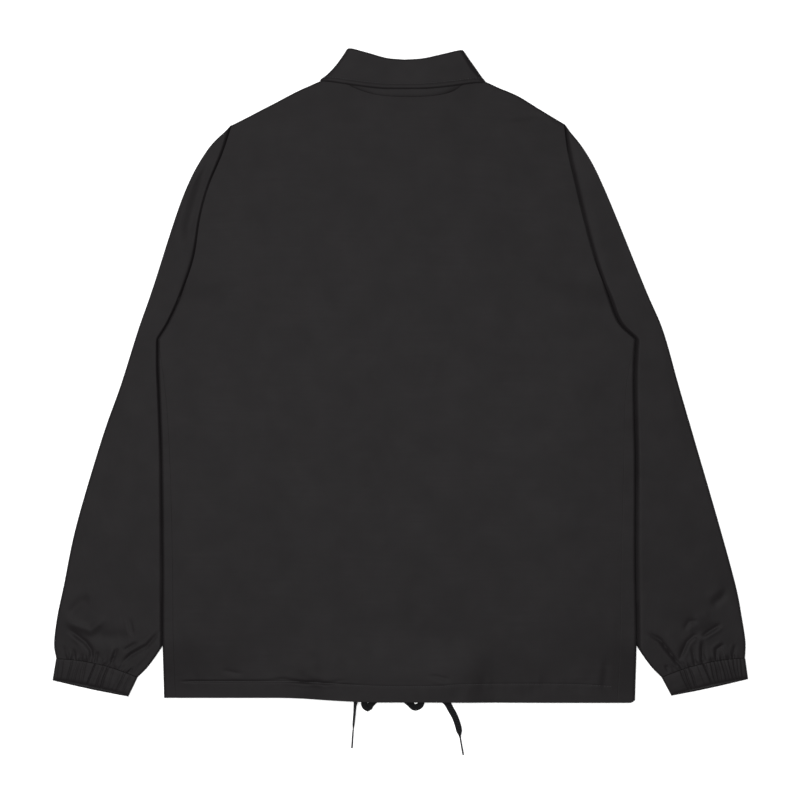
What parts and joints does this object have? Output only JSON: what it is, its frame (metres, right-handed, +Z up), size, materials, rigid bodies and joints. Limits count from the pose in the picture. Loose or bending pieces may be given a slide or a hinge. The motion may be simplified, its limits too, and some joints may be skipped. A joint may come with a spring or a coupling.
{
  "type": "coach jacket",
  "caption": "Lightweight nylon coach jacket laid flat back up, with turn-down collar, gathered cuffs and a drawstring hem.",
  "frame": {"origin": "under the middle of the cloth's outline, on the surface that the jacket lies on, without the lace", "axes": "+X to the right of the back, +Y from hem to collar, +Z up from the surface, out of the back"},
  "size_m": [0.834, 0.8437, 0.0099],
  "materials": {
    "nylon": "matte",
    "lace_cord": "matte",
    "aglet_metal": "satin",
    "eyelet_metal": "satin",
    "snap_cap": "satin"
  },
  "bodies": {
    "root": {"back_panel": "nylon", "front_left": "nylon", "front_right": "nylon", "sleeve_left": "nylon", "sleeve_right": "nylon", "cuff_left": "nylon", "cuff_right": "nylon", "collar_stand": "nylon", "collar_fall": "nylon", "lace_left": "lace_cord", "lace_right": "lace_cord", "bow_wrap": "lace_cord", "aglet_left": "aglet_metal", "aglet_right": "aglet_metal", "eyelet_left": "eyelet_metal", "eyelet_right": "eyelet_metal", "snap_1": "snap_cap", "snap_2": "snap_cap", "snap_3": "snap_cap", "snap_4": "snap_cap", "snap_5": "snap_cap"}
  },
  "joints": []
}
